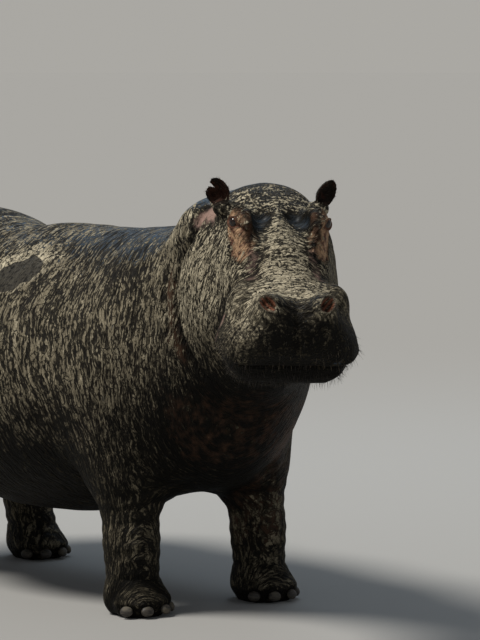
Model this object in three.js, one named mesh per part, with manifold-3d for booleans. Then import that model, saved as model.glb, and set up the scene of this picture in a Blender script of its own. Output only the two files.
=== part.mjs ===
// A standing common hippopotamus, life size, built as one field of flesh that is parted with thin cuts.
// Millimetres: +X is the way the trunk faces, +Y is the animal's left, +Z is up, and the soles stand on z = 0.
import * as THREE from "three";
import { mergeVertices } from "three/addons/utils/BufferGeometryUtils.js";
import Module from "manifold-3d";

const wasm = await Module();
wasm.setup();
const V = (x, y, z) => new THREE.Vector3(x, y, z);
const UP = V(0, 0, 1);
const FORWARD = V(1, 0, 0);
const share = (from, to, value) => THREE.MathUtils.clamp((value - from) / (to - from), 0, 1);

// ---------------------------------------------------------------- driving dimensions
const WITHERS = 1350; // height of the back over the forelegs
const CROUP = 1392; // height of the back over the hips
const BELLY = 318; // height of the belly's lowest point
const GIRTH_HALF = 590; // half the width of the barrel
const FORE_X = 0; // the forelegs' place along the trunk
const HIND_X = -1400; // the hind legs' place along the trunk
const FORE_SPREAD = 281; // each forefoot's distance from the middle plane
const HIND_SPREAD = 275; // each hind foot's distance from the middle plane
const STRIDE = { fore_right: -18, fore_left: 14, hind_right: -70, hind_left: 45 }; // each foot's step
const HEAD_AT = V(537, -143, 1266); // the skull's hinge with the neck
const HEAD_YAW = -31.5; // degrees, towards the animal's right
const HEAD_PITCH = 22.2; // degrees, nose down
const HEAD_ROLL = -1.7; // degrees, the left side a little lower
const ANKLE = 128; // height of the cut between leg and foot
const TAIL_LONG = 440;
const EYE_R = 21; // eyeball
const EYE_AT = V(222, 154, 264); // the left eye, in the head's own frame
const EAR_AT = V(58, 175, 246); // the left ear's root, in the head's own frame
const EAR_HIGH = 122; // ear, from root to tip
const EAR_WIDE = 90;
const EAR_LEAN = 0.42; // radians, outwards
const EAR_TURN = { right: 0.3, left: 0.5 }; // radians, each hollow turned outwards
const GAP = 0.4; // the thin cut between two parts

// ---------------------------------------------------------------- flesh as a field
// Each mass gives its distance from a point, below zero inside. Masses run into each other over their blend.
function ellipsoid(centre, radii, blend) {
  const distance = (p) => {
    const x = p.x - centre.x;
    const y = p.y - centre.y;
    const z = p.z - centre.z;
    const near = Math.hypot(x / radii.x, y / radii.y, z / radii.z);
    const slope = Math.hypot(x / radii.x ** 2, y / radii.y ** 2, z / radii.z ** 2);
    return slope < 1e-9 ? -Math.min(radii.x, radii.y, radii.z) : (near * (near - 1)) / slope;
  };
  return { distance, blend };
}

// A limb tapers from one round end to the other.
function limb(start, end, startRadius, endRadius, blend) {
  const along = end.clone().sub(start);
  const distance = (p) => {
    const way = share(0, along.lengthSq(), p.clone().sub(start).dot(along));
    const radius = THREE.MathUtils.lerp(startRadius, endRadius, way);
    return p.distanceTo(start.clone().addScaledVector(along, way)) - radius;
  };
  return { distance, blend };
}

// A block with well rounded edges, for the square muzzle and jaw. It can widen to the front by flare, widen
// to the bottom by spread, and climb to the front by slope.
function block(centre, half, rounding, blend, { flare = 0, spread = 0, slope = 0 } = {}) {
  const distance = (p) => {
    const ahead = THREE.MathUtils.clamp((p.x - centre.x) / half.x, -1, 1);
    const rise = p.z - centre.z - slope * ahead * half.x;
    const below = THREE.MathUtils.clamp(-rise / half.z, -1, 1);
    const halfWidth = half.y * (1 + flare * ahead) * (1 + spread * below);
    const x = Math.abs(p.x - centre.x) - half.x + rounding;
    const y = Math.abs(p.y - centre.y) - halfWidth + rounding;
    const z = Math.abs(rise) - half.z + rounding;
    const outer = Math.hypot(Math.max(x, 0), Math.max(y, 0), Math.max(z, 0));
    return outer + Math.min(Math.max(x, y, z), 0) - rounding;
  };
  return { distance, blend };
}

function softMin(a, b, blend) {
  const mix = Math.max(blend - Math.abs(a - b), 0) / blend;
  return Math.min(a, b) - (mix * mix * blend) / 4;
}

const union = (masses) => (p) =>
  masses.reduce((sofar, mass) => softMin(sofar, mass.distance(p), mass.blend), 1e4);
const hollowed = (field, hollows) => (p) =>
  hollows.reduce((sofar, h) => -softMin(-sofar, h.distance(p), h.blend), field(p));
const both = (make) => [make(-1), make(1)]; // right, then left

// ---------------------------------------------------------------- trunk
const trunkMasses = [
  ellipsoid(V(-700, 0, BELLY + 492), V(930, GIRTH_HALF - 25, 490), 60), // barrel
  ellipsoid(V(-760, 0, BELLY + 330), V(640, GIRTH_HALF - 40, 330), 160), // sagging belly
  ellipsoid(V(FORE_X - 70, 0, WITHERS - 470), V(410, 395, 440), 160), // chest
  limb(V(90, 0, WITHERS - 205), V(-780, 0, WITHERS - 215), 190, 200, 160), // withers and back
  ellipsoid(V(HIND_X + 10, 0, CROUP - 480), V(470, 430, 445), 160), // rump
  ellipsoid(V(HIND_X + 90, 0, CROUP - 235), V(350, 290, 222), 140), // croup
  ellipsoid(V(150, -20, 735), V(205, 225, 265), 160), // brisket
  ...both((s) => ellipsoid(V(FORE_X - 90, s * 262, 800), V(185, 166, 350), 120)), // shoulders
  ...both((s) => ellipsoid(V(HIND_X - 20, s * 262, 790), V(320, 225, 390), 120)), // haunches
];
const neckMasses = [
  limb(V(100, 0, 1005), V(440, -105, 1130), 345, 270, 160), // the neck's bulk
  limb(V(130, 0, WITHERS - 215), V(480, -135, 1275), 200, 205, 150), // crest
  limb(V(180, -25, 850), V(500, -130, 990), 220, 172, 140), // throat
];

// ---------------------------------------------------------------- head, in its own frame
// Its own +X runs from the neck to the nose along the mouth, and z = 0 is near the lips.
const headMasses = [
  ellipsoid(V(30, 0, 105), V(195, 165, 160), 70), // braincase
  ellipsoid(V(0, 0, 190), V(165, 152, 88), 80), // poll
  ...both((s) => ellipsoid(V(-145, s * 118, 66), V(165, 118, 114), 80)), // nape behind the ears
  ellipsoid(V(190, 0, 182), V(150, 86, 78), 60), // forehead
  ...both((s) => ellipsoid(V(206, s * 116, 226), V(84, 50, 62), 60)), // foot of the brow
  block(V(370, 0, 108), V(215, 94, 98), 70, 70, { flare: 0.34, slope: -0.26 }), // bridge of the nose
  block(V(565, 0, 66), V(126, 182, 98), 84, 60, { spread: 0.28 }), // muzzle
  ...both((s) => ellipsoid(V(552, s * 158, -24), V(130, 80, 76), 50)), // hanging lips
  ...both((s) => ellipsoid(V(484, s * 146, 106), V(84, 50, 54), 36)), // tusk pads
  ...both((s) => ellipsoid(V(636, s * 90, 158), V(64, 52, 50), 36)), // nostril mounds
  ellipsoid(V(650, 0, 56), V(58, 150, 92), 60), // front of the lip
  ...both((s) => ellipsoid(V(215, s * 112, 110), V(165, 62, 78), 70)), // cheekbones
];
const jowls = both((s) => ellipsoid(V(10, s * 140, -100), V(215, 100, 190), 80));
const cheeks = both((s) => ellipsoid(V(190, s * 112, -10), V(190, 72, 130), 90));
const jawMasses = [
  block(V(330, 0, -100), V(280, 138, 80), 66, 80, { slope: 0.2, flare: -0.1 }), // jaw
  block(V(565, 0, -72), V(100, 204, 58), 52, 50), // chin
];
const headHollows = [
  ...both((s) => ellipsoid(V(258, s * 66, 318), V(92, 34, 70), 60)), // pits between brow and bridge
  ellipsoid(V(724, 0, 130), V(26, 12, 70), 20), // groove between the nostrils
];

const headFrame = new THREE.Matrix4()
  .makeTranslation(HEAD_AT.x, HEAD_AT.y, HEAD_AT.z)
  .multiply(new THREE.Matrix4().makeRotationZ(THREE.MathUtils.degToRad(HEAD_YAW)))
  .multiply(new THREE.Matrix4().makeRotationY(THREE.MathUtils.degToRad(HEAD_PITCH)))
  .multiply(new THREE.Matrix4().makeRotationX(THREE.MathUtils.degToRad(HEAD_ROLL)));
const intoHead = headFrame.clone().invert();
const onHead = (x, y, z) => V(x, y, z).applyMatrix4(headFrame);
const headWay = (x, y, z) => V(x, y, z).transformDirection(headFrame);
const inHead = (field) => (p) => field(p.clone().applyMatrix4(intoHead));

const upperHead = union([...headMasses, ...jowls, ...cheeks]);
const lowerHead = union([...jawMasses, ...jowls, ...cheeks]);
const trunkField = union(trunkMasses);
const neckField = union(neckMasses);
const withNeck = (field) => (p) => softMin(inHead(field)(p), neckField(p), 90);
const headAndNeck = withNeck((q) => Math.min(upperHead(q), lowerHead(q)));
const torso = (p) => softMin(trunkField(p), headAndNeck(p), 170);

// ---------------------------------------------------------------- legs
const TOES = [-56, -20, 20, 56]; // degrees from straight ahead
function legMasses(name) {
  const side = name.endsWith("left") ? 1 : -1;
  const fore = name.startsWith("fore");
  const x = (fore ? FORE_X : HIND_X) + STRIDE[name];
  const y = side * (fore ? FORE_SPREAD : HIND_SPREAD);
  const foot = V(x, y, 0);
  const shank = fore
    ? [
        limb(V(FORE_X - 80, y * 0.94, 770), V(x - 30, y, 500), 152, 113, 110), // upper arm
        limb(V(x - 30, y, 500), V(x - 6, y, 255), 110, 95, 60), // forearm
        limb(V(x - 8, y, 255), V(x, y, 90), 96, 95, 40), // wrist
      ]
    : [
        limb(V(HIND_X - 10, y * 1.0, 780), V(x + 70, y * 1.1, 560), 230, 150, 120), // thigh
        limb(V(x + 70, y * 1.1, 560), V(x - 62, y, 315), 142, 96, 60), // shin
        limb(V(x - 62, y, 315), V(x - 6, y, 90), 96, 94, 40), // hock to ankle
      ];
  const pad = ellipsoid(V(x + 14, y, 52), V(118, 112, 82), 40);
  const toes = TOES.map((degrees) => {
    const turn = THREE.MathUtils.degToRad(degrees);
    const out = V(Math.cos(turn), Math.sin(turn), 0);
    return ellipsoid(V(x + 22, y, 38).addScaledVector(out, 92), V(44, 40, 46), 22);
  });
  return { side, foot, masses: [...shank, pad, ...toes] };
}

// ---------------------------------------------------------------- solids
const STEP = 14; // how finely a ray looks for the surface
const REACH = 1200; // longer than any ray in the flesh
const BISECTIONS = 14;

// Where a ray from anchor leaves the flesh.
function surface(field, anchor, way) {
  const at = (r) => anchor.clone().addScaledVector(way, r);
  let outside = STEP;
  while (outside < REACH && field(at(outside)) < 0) outside += STEP;
  let inside = outside - STEP;
  for (let i = 0; i < BISECTIONS; i++) {
    const middle = (inside + outside) / 2;
    if (field(at(middle)) > 0) outside = middle;
    else inside = middle;
  }
  return at(inside);
}

// Lays a sphere's mesh over the field. Its middle rings stand across the spine, its caps of [start, end] rings
// close over the spine's ends, and each vertex goes out along its own ray. up keeps the rings from twisting.
function wrap(field, spine, up, { segments, rings, caps: [start, end] }) {
  const total = start + rings + end;
  const sphere = new THREE.SphereGeometry(1, segments, total);
  const position = sphere.attributes.position;
  const perRow = segments + 1;
  for (let i = 0; i < position.count; i++) {
    const row = Math.floor(i / perRow);
    const polar = ((share(0, end, row) + share(end + rings, total, row)) * Math.PI) / 2;
    const along = 1 - share(end, end + rings, row);
    const tangent = spine.getTangent(along);
    const across = tangent.clone().cross(up).normalize();
    const upright = across.clone().cross(tangent);
    const turn = ((i % perRow) / segments) * 2 * Math.PI;
    const way = across
      .multiplyScalar(-Math.cos(turn) * Math.sin(polar))
      .addScaledVector(upright, Math.sin(turn) * Math.sin(polar))
      .addScaledVector(tangent, Math.cos(polar));
    const hit = surface(field, spine.getPoint(along), way.normalize());
    position.setXYZ(i, hit.x, hit.y, hit.z);
  }
  return solid(sphere);
}

function solid(geometry) {
  const bare = geometry.index ? geometry.clone() : geometry;
  bare.deleteAttribute("normal");
  bare.deleteAttribute("uv");
  const merged = mergeVertices(bare, 1e-3);
  return new wasm.Manifold(
    new wasm.Mesh({
      numProp: 3,
      vertProperties: merged.attributes.position.array,
      triVerts: new Uint32Array(merged.index.array),
    }),
  );
}

// A cut is a plane. A zone is the space behind all of its cuts: reach is the distance past its faces, below zero
// inside, and block is the same space as a solid, drawn in by inset.
const plane = (point, normal) => ({ point, normal: normal.clone().normalize() });
const facing = (cut) => plane(cut.point, cut.normal.clone().negate());
const WORLD = 6000;
function behind({ point, normal }, inset) {
  const box = new THREE.BoxGeometry(WORLD, WORLD, WORLD).translate(0, 0, -WORLD / 2 - inset);
  box.applyQuaternion(new THREE.Quaternion().setFromUnitVectors(UP, normal));
  return solid(box.translate(point.x, point.y, point.z));
}
const zone = (...cuts) => ({
  reach: (p) => Math.max(...cuts.map((cut) => p.clone().sub(cut.point).dot(cut.normal))),
  block: (inset) => cuts.map((cut) => behind(cut, inset)).reduce((a, b) => a.intersect(b)),
});
const either = (a, b) => ({
  reach: (p) => Math.min(a.reach(p), b.reach(p)),
  block: (inset) => a.block(inset).add(b.block(inset)),
});

// Flesh that ends a little past a zone, and flesh that is hollow a little inside it: the cuts then fall on the
// true surface.
const endingPast = (field, place, by) => (p) => Math.max(field(p), place.reach(p) - by);
const hollowIn = (field, place, by) => (p) => Math.max(field(p), -place.reach(p) - by);

// ---------------------------------------------------------------- cuts between the parts
const neckCut = plane(V(330, -30, 950), V(0.96, -0.2, 0.16));
const headCut = plane(onHead(-70, 0, 60), headWay(0.97, 0, 0.24));
const mouthCut = plane(onHead(520, 0, -36), headWay(-0.087, 0, -1).negate());
const floorCut = plane(V(0, 0, 0), V(0, 0, -1));
const ankleCut = plane(V(0, 0, ANKLE), V(0, 0, 1));
// Each leg is parted from the trunk by a cut that climbs outwards from the armpit or groin.
function legZone({ side, foot }, fore) {
  const [low, high] = fore ? [V(0, 128, 476), V(0, 600, 830)] : [V(0, 116, 520), V(0, 600, 900)];
  const [front, rear] = fore ? [FORE_X + 176, FORE_X - 176] : [HIND_X + 216, HIND_X - 800];
  const slope = high.clone().sub(low);
  const inner = plane(V(0, side * low.y, 0), V(0, -side, 0));
  const shoulder = zone(
    plane(V(0, side * low.y, low.z), V(0, -side * slope.z, slope.y)),
    inner,
    plane(V(front, 0, 440), V(1, 0, -0.24)),
    plane(V(rear, 0, 440), V(-1, 0, -0.42)),
  );
  const column = zone(
    plane(V(0, 0, 446), UP),
    inner,
    plane(V(foot.x + 190, 0, 0), FORWARD),
    plane(V(foot.x - 190, 0, 0), FORWARD.clone().negate()),
  );
  return either(shoulder, column);
}

// ---------------------------------------------------------------- finishes
const hide = new THREE.MeshStandardMaterial({ color: 0x4a4640, roughness: 0.7, metalness: 0 });
const earHide = new THREE.MeshStandardMaterial({ color: 0x2a211e, roughness: 0.75, metalness: 0 });
const eyeWet = new THREE.MeshStandardMaterial({ color: 0x120c0a, roughness: 0.12, metalness: 0 });
const horn = new THREE.MeshStandardMaterial({ color: 0x2b2824, roughness: 0.5, metalness: 0 });

const hippo = new THREE.Group();
function add(name, made, material) {
  const mesh = made.getMesh();
  const geometry = new THREE.BufferGeometry();
  geometry.setAttribute("position", new THREE.BufferAttribute(mesh.vertProperties.slice(), 3));
  geometry.setIndex(new THREE.BufferAttribute(mesh.triVerts.slice(), 1));
  geometry.computeVertexNormals();
  const part = new THREE.Mesh(geometry, material.clone());
  part.name = name;
  hippo.add(part);
}
const curve = (...points) => new THREE.CatmullRomCurve3(points);

// ---------------------------------------------------------------- legs, feet and nails
const legs = ["fore_right", "fore_left", "hind_right", "hind_left"].map((name) => {
  const fore = name.startsWith("fore");
  const leg = legMasses(name);
  return { name, fore, ...leg, flesh: union(leg.masses), place: legZone(leg, fore) };
});
const withLeg = (field, leg) => (p) => softMin(field(p), leg.flesh(p), 120);
function buildLeg(leg) {
  const { name, fore, side, foot, place } = leg;
  const whole = withLeg(trunkField, leg);
  const at = (x, y, z) => V(foot.x + x, foot.y + side * y, z);
  const top = V((fore ? FORE_X : HIND_X) - 40, foot.y + side * 62, fore ? 560 : 650);
  const spine = fore
    ? curve(at(0, 0, 90), at(-8, 0, 250), at(-28, 8, 400), top)
    : curve(at(0, 0, 90), at(-44, 0, 260), at(-34, 14, 440), top);
  const legSolid = wrap(endingPast(whole, place, 130), spine, FORWARD, {
    segments: 18,
    rings: 8,
    caps: [2, 4],
  });
  const kept = place.block(GAP).intersect(behind(facing(ankleCut), GAP));
  add(`${name}_leg`, legSolid.intersect(kept), hide);

  const footSpine = curve(at(10, 0, 46), at(4, 0, ANKLE + 20));
  const nails = TOES.map((degrees) => {
    const turn = THREE.MathUtils.degToRad(degrees);
    const centre = V(foot.x + 22 + Math.cos(turn) * 120, foot.y + Math.sin(turn) * 120, 25);
    return { turn, centre };
  });
  const shell = (grow) => (nail) =>
    solid(
      new THREE.SphereGeometry(1, 7, 4)
        .scale(18 + grow, 27 + grow, 24 + grow)
        .rotateY(-0.35)
        .rotateZ(nail.turn)
        .translate(nail.centre.x, nail.centre.y, nail.centre.z + 2),
    );
  const rough = wrap(whole, footSpine, FORWARD, { segments: 16, rings: 3, caps: [3, 1] });
  const footRegion = zone(ankleCut, floorCut).block(0);
  const footSolid = nails
    .map(shell(GAP))
    .reduce((sofar, nail) => sofar.subtract(nail), rough.intersect(footRegion));
  add(`${name}_foot`, footSolid, hide);
  nails.map(shell(0)).forEach((nail, i) => {
    add(`${name}_nail_${i + 1}`, nail, horn);
  });
}
legs.forEach(buildLeg);

// ---------------------------------------------------------------- trunk, neck and tail
// Trunk and neck are one wrap along the animal's middle, parted at the neck's base.
const bodySpine = curve(
  V(-1480, 0, 880),
  V(-1080, 0, 845),
  V(-700, 0, 810),
  V(-300, 0, 820),
  V(0, 0, 860),
  V(300, -30, 930),
  V(560, -125, 1030),
  V(690, -205, 1100),
);
const bodyField = legs.reduce((field, leg) => hollowIn(withLeg(field, leg), leg.place, 60), torso);
const body = wrap(bodyField, bodySpine, UP, { segments: 26, rings: 23, caps: [5, 4] });

// The tail hangs from the rump, flattened from side to side towards its tip.
const tailField = union([
  limb(V(-1770, 0, 1110), V(-1868, 0, 985), 66, 46, 50),
  limb(V(-1868, 0, 985), V(-1900, 0, 1130 - TAIL_LONG), 44, 30, 40),
]);
const tailSpine = curve(V(-1790, 0, 1090), V(-1868, 0, 980), V(-1886, 0, 860), V(-1896, 0, 735));
function tailSolid(grow) {
  const flat = (p) => tailField(V(p.x, p.y * (1 + 0.9 * share(1100, 750, p.z)), p.z)) - grow;
  return wrap(flat, tailSpine, V(0, 1, 0), { segments: 10, rings: 7, caps: [2, 2] });
}
const trunkSolid = legs
  .reduce(
    (sofar, leg) => sofar.subtract(leg.place.block(0)),
    body.intersect(behind(neckCut, 0)),
  )
  .subtract(tailSolid(GAP * 2));
add("trunk", trunkSolid, hide);
add("neck", body.intersect(zone(facing(neckCut), headCut).block(GAP)), hide);
add("tail", tailSolid(0), hide);

// ---------------------------------------------------------------- head and jaw
const upperField = withNeck(hollowed(upperHead, headHollows));
const headSpine = curve(
  onHead(-170, 0, 80),
  onHead(-30, 0, 95),
  onHead(110, 0, 110),
  onHead(260, 0, 95),
  onHead(400, 0, 70),
  onHead(520, 0, 62),
  onHead(600, 0, 66),
);
const headZone = zone(facing(headCut), facing(mouthCut));
const beforeNeck = (field) => endingPast(field, zone(facing(headCut)), 170);
const eyes = both((s) => onHead(EYE_AT.x, s * EYE_AT.y, EYE_AT.z));
const eyeball = (grow) => (at) =>
  solid(new THREE.SphereGeometry(EYE_R + grow, 10, 7).translate(at.x, at.y, at.z));
const aboveMouth = endingPast(beforeNeck(upperField), zone(facing(mouthCut)), 50);
const headWrap = wrap(aboveMouth, headSpine, headWay(0, 0, 1), {
  segments: 36,
  rings: 20,
  caps: [1, 7],
});
// An egg laid in the head's frame, for what is too small and round for the head's rings.
const egg = (at, radii, segments) => {
  const shape = new THREE.SphereGeometry(1, segments, Math.round(segments * 0.7));
  return solid(shape.scale(radii.x, radii.y, radii.z).translate(at.x, at.y, at.z).applyMatrix4(headFrame));
};
const brows = both((s) => egg(V(202, s * 122, 248), V(80, 48, 64), 14));
const nostrils = both((s) => egg(V(680, s * 99, 190), V(30, 20, 27), 9));
const earSolids = both((s) => earSolid(s, 0));
const sockets = [...eyes.map(eyeball(GAP)), ...both((s) => earSolid(s, GAP))];
const headSolid = [...nostrils, ...sockets].reduce(
  (sofar, hole) => sofar.subtract(hole),
  brows.reduce((sofar, brow) => sofar.add(brow), headWrap.intersect(headZone.block(GAP / 2))),
);
add("head", headSolid, hide);
["right", "left"].forEach((side, i) => {
  add(`eye_${side}`, eyeball(0)(eyes[i]), eyeWet);
  add(`ear_${side}`, earSolids[i], earHide);
});

const jawSpine = curve(
  onHead(-160, 0, -90),
  onHead(0, 0, -90),
  onHead(200, 0, -90),
  onHead(450, 0, -90),
  onHead(590, 0, -85),
);
const jawZone = zone(facing(headCut), mouthCut);
const belowMouth = endingPast(beforeNeck(withNeck(lowerHead)), zone(mouthCut), 50);
const jawWrap = wrap(belowMouth, jawSpine, headWay(0, 0, 1), {
  segments: 24,
  rings: 10,
  caps: [1, 4],
});
add("lower_jaw", jawWrap.intersect(jawZone.block(GAP / 2)), hide);

// ---------------------------------------------------------------- ears
// A cupped leaf on a narrow root. The right ear has an old tear in its outer edge.
function earSolid(side, grow) {
  const ear = new THREE.SphereGeometry(1, 16, 8);
  const position = ear.attributes.position;
  for (let i = 0; i < position.count; i++) {
    const x = position.getX(i); // across the ear
    const y = position.getY(i); // through its thickness, hollow at +Y
    const z = position.getZ(i); // from root to tip
    const rim = Math.min(Math.hypot(x, z), 1);
    const aroundOuter = Math.atan2(z, -side * x);
    const tear = side < 0 ? 0.36 * Math.exp(-(((aroundOuter - 0.95) / 0.26) ** 2)) * rim : 0;
    const width = EAR_WIDE * (0.5 - 0.24 * THREE.MathUtils.smoothstep(-z, 0, 1)) * (1 - tear);
    const cup = 30 * (1 - rim ** 2) + 10;
    const thick = 5 + 8 * Math.max(0, -z) + grow;
    const tall = (EAR_HIGH / 2) * (1 - tear) + grow;
    position.setXYZ(i, x * (width + grow), y * thick - cup, z * tall + EAR_HIGH / 2 - 20);
  }
  ear.rotateZ(-Math.PI / 2 + (side > 0 ? EAR_TURN.left : -EAR_TURN.right));
  const placed = headFrame
    .clone()
    .multiply(new THREE.Matrix4().makeTranslation(EAR_AT.x, side * EAR_AT.y, EAR_AT.z))
    .multiply(new THREE.Matrix4().makeRotationX(-side * EAR_LEAN))
    .multiply(new THREE.Matrix4().makeRotationY(-0.3));
  return solid(ear.applyMatrix4(placed));
}

// ---------------------------------------------------------------- the whole animal, centred over its footprint
const bounds = new THREE.Box3().setFromObject(hippo);
const middle = bounds.getCenter(V(0, 0, 0));
hippo.position.set(-middle.x, -middle.y, 0);

export default hippo;
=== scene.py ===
# %% [markdown]
# # A standing hippopotamus
# The solids of this animal are plain and faceted: trunk, neck, head, jaw, ears, tail, legs, feet, eyes and
# nails. This lesson dresses them. One closed skin takes the place of all the flesh, gets its folds, lids,
# nostrils and lips, and is finished as dark wrinkled hide under a crust of dried mud. Smooth eyes, nails
# and bristles follow. Everything is in metres: +X is the way the trunk faces, +Y is the animal's left, and
# the soles stand on z = 0.

import math

import bpy
import numpy as np
from mathutils import Matrix, Vector


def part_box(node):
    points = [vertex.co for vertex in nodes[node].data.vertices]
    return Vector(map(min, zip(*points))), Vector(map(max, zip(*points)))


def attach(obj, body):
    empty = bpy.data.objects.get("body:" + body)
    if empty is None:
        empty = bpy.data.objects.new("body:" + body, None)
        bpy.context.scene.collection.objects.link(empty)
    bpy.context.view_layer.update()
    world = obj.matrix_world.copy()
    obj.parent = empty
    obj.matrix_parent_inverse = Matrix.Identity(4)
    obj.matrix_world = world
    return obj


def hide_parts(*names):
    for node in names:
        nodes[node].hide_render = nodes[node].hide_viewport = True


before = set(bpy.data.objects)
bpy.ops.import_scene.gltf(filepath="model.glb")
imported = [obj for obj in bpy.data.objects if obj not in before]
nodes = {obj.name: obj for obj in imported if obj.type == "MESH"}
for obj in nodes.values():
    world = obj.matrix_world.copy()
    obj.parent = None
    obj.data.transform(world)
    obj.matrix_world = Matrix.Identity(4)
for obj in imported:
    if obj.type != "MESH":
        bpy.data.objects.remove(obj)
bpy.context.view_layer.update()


# %% [markdown]
# The camera comes first, because every later choice is judged through it. It stands far away with a long
# lens, so that the head doesn't look too large for the body.

# %% Camera
scene = bpy.context.scene
CAMERA_AT = (10.195, -8.018, 2.080)
CAMERA_DOWN = math.radians(4.71)
CAMERA_ROUND = math.radians(50)
LENS = 200
FILM = 36


def deselect_all():
    for thing in bpy.context.selected_objects:
        thing.select_set(False)


deselect_all()
bpy.ops.object.camera_add(location=CAMERA_AT, rotation=(math.pi / 2 - CAMERA_DOWN, 0, CAMERA_ROUND))
camera = bpy.context.object
camera.name = "camera"
camera.data.lens = LENS
camera.data.sensor_width = FILM
scene.camera = camera
print("camera", round(math.hypot(*CAMERA_AT), 2), "m from the origin")

# %% [markdown]
# The floor is a plain pale plane. Far away it rises like a studio's curved paper, so that no horizon shows
# behind the animal. A cone without its ends gives that slope in one piece.

# %% Floor
FLOOR_SIZE = 400
SWEEP_START = 150
SWEEP_END = 650
SWEEP_RISE = 50
SWEEP_BELOW = 0.01
FLOOR_PAINT = {"Base Color": (0.38, 0.375, 0.36, 1), "Roughness": 0.9, "Specular IOR Level": 0.1}

bpy.ops.mesh.primitive_plane_add(size=FLOOR_SIZE, location=(0, 0, 0))
floor = bpy.context.object
floor.name = "floor"
bpy.ops.mesh.primitive_cone_add(
    vertices=128,
    radius1=SWEEP_START,
    radius2=SWEEP_END,
    depth=SWEEP_RISE,
    end_fill_type="NOTHING",
    location=(0, 0, SWEEP_RISE / 2 - SWEEP_BELOW),
)
sweep = bpy.context.object
sweep.name = "floor_sweep"
floor_paint = bpy.data.materials.new("floor")
floor_paint.use_nodes = True
for socket, value in FLOOR_PAINT.items():
    floor_paint.node_tree.nodes["Principled BSDF"].inputs[socket].default_value = value
for ground in (floor, sweep):
    ground.data.materials.append(floor_paint)
print("floor", FLOOR_SIZE, "m across, rising", SWEEP_RISE, "m behind the animal")

# %% [markdown]
# The light is plain as well, so that only the hide gives colour: one soft sun high on the animal's right, a
# weak cool light from behind that picks out the wet back, and a pale sky all round.

# %% Sky and lights
SKY = {"Color": (0.88, 0.93, 1.0, 1), "Strength": 0.24}
SUN_AT = (-1.6, -4.6, 9.0)
RIM_AT = (-3.5, 3.5, 6.0)
MIDDLE = Vector((0.4, 0, 0.9))

world = bpy.data.worlds.new("sky")
world.use_nodes = True
for socket, value in SKY.items():
    world.node_tree.nodes["Background"].inputs[socket].default_value = value
scene.world = world
scene.view_settings.view_transform = "Standard"


def add_light(kind, name, at, strength, colour, **settings):
    """A light that points at the middle of the animal."""
    bpy.ops.object.light_add(type=kind, location=at)
    light = bpy.context.object
    light.name = name
    light.rotation_euler = (MIDDLE - Vector(at)).to_track_quat("-Z", "Y").to_euler()
    light.data.energy = strength
    light.data.color = colour
    for setting, value in settings.items():
        setattr(light.data, setting, value)


add_light("SUN", "key", SUN_AT, 3.1, (1.0, 0.965, 0.91), angle=math.radians(20))
add_light("AREA", "rim", RIM_AT, 80, (0.66, 0.83, 1.0), size=3.5)

# %% [markdown]
# ## The skin
# Real skin has no joints, so the cut solids have to become one surface again. They could be sculpted over
# by hand, but a voxel remesh does it from any solids: copies are swelled by a hair, so that they overlap
# across the thin cuts, and the remesh melts them into one even net. The eyeballs go into the melt as well,
# so that the sockets close; the lids are opened again later.


# %% Working on one piece
def copy_of(node, name):
    piece = bpy.data.objects.new(name, nodes[node].data.copy())
    scene.collection.objects.link(piece)
    return piece


def alone(*pieces):
    """Selects these pieces and nothing else."""
    deselect_all()
    for piece in pieces:
        piece.select_set(True)
    bpy.context.view_layer.objects.active = pieces[0]


def in_edit_mode(piece, *steps):
    alone(piece)
    bpy.ops.object.mode_set(mode="EDIT")
    bpy.ops.mesh.select_all(action="SELECT")
    for step in steps:
        step()
    bpy.ops.object.mode_set(mode="OBJECT")


def apply_modifier(piece, kind, **settings):
    alone(piece)
    modifier = piece.modifiers.new(kind.lower(), kind)
    for name, value in settings.items():
        setattr(modifier, name, value)
    bpy.ops.object.modifier_apply(modifier=modifier.name)


# %% Copies of the flesh, swelled
EARS = ["ear_right", "ear_left"]
EYES = ["eye_right", "eye_left"]
SWELL = 0.0012


def weld():
    bpy.ops.mesh.remove_doubles(threshold=1e-5)


def swell():
    bpy.ops.transform.shrink_fatten(value=SWELL)


flesh = [n for n in nodes if not any(word in n for word in ("eye", "ear_", "nail"))]
copies = [copy_of(n, "skin_" + n) for n in flesh + EYES]
for piece in copies:
    in_edit_mode(piece, weld, swell)
print(len(copies), "copies swelled by", SWELL * 1000, "mm")

# %% Knobs of gristle under the ears
KNOB_RADIUS = 0.036


def knob(ear):
    """A knob of gristle, which fills the dent that each ear leaves in the head."""
    low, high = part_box(ear)
    side = 1 if ear.endswith("left") else -1
    root = Vector(((low.x + high.x) / 2 - 0.006, (low.y + high.y) / 2 - side * 0.016, low.z + 0.012))
    bpy.ops.mesh.primitive_ico_sphere_add(subdivisions=3, radius=KNOB_RADIUS, location=root)
    bpy.ops.object.transform_apply(location=True, rotation=True, scale=True)
    return bpy.context.object


deselect_all()
knobs = [knob(ear) for ear in EARS]
print("knobs:", len(knobs))

# %% Melt the flesh into one net
VOXEL = 0.0115
alone(*copies, *knobs)
bpy.ops.object.join()
skin = bpy.context.object
skin.name = "skin"
skin.data.name = "skin"
apply_modifier(skin, "REMESH", mode="VOXEL", voxel_size=VOXEL, adaptivity=0)
print("melted net:", len(skin.data.vertices), "points")


# %% Tools for moving the net's points
def points(piece):
    co = np.empty(len(piece.data.vertices) * 3)
    piece.data.vertices.foreach_get("co", co)
    return co.reshape(-1, 3)


def set_points(piece, co):
    piece.data.vertices.foreach_set("co", co.ravel())
    piece.data.update()


def normals(piece):
    out = np.empty(len(piece.data.vertices) * 3)
    piece.data.vertex_normals.foreach_get("vector", out)
    return out.reshape(-1, 3)


def edges(piece):
    pairs = np.empty(len(piece.data.edges) * 2, int)
    piece.data.edges.foreach_get("vertices", pairs)
    return pairs.reshape(-1, 2)


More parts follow.
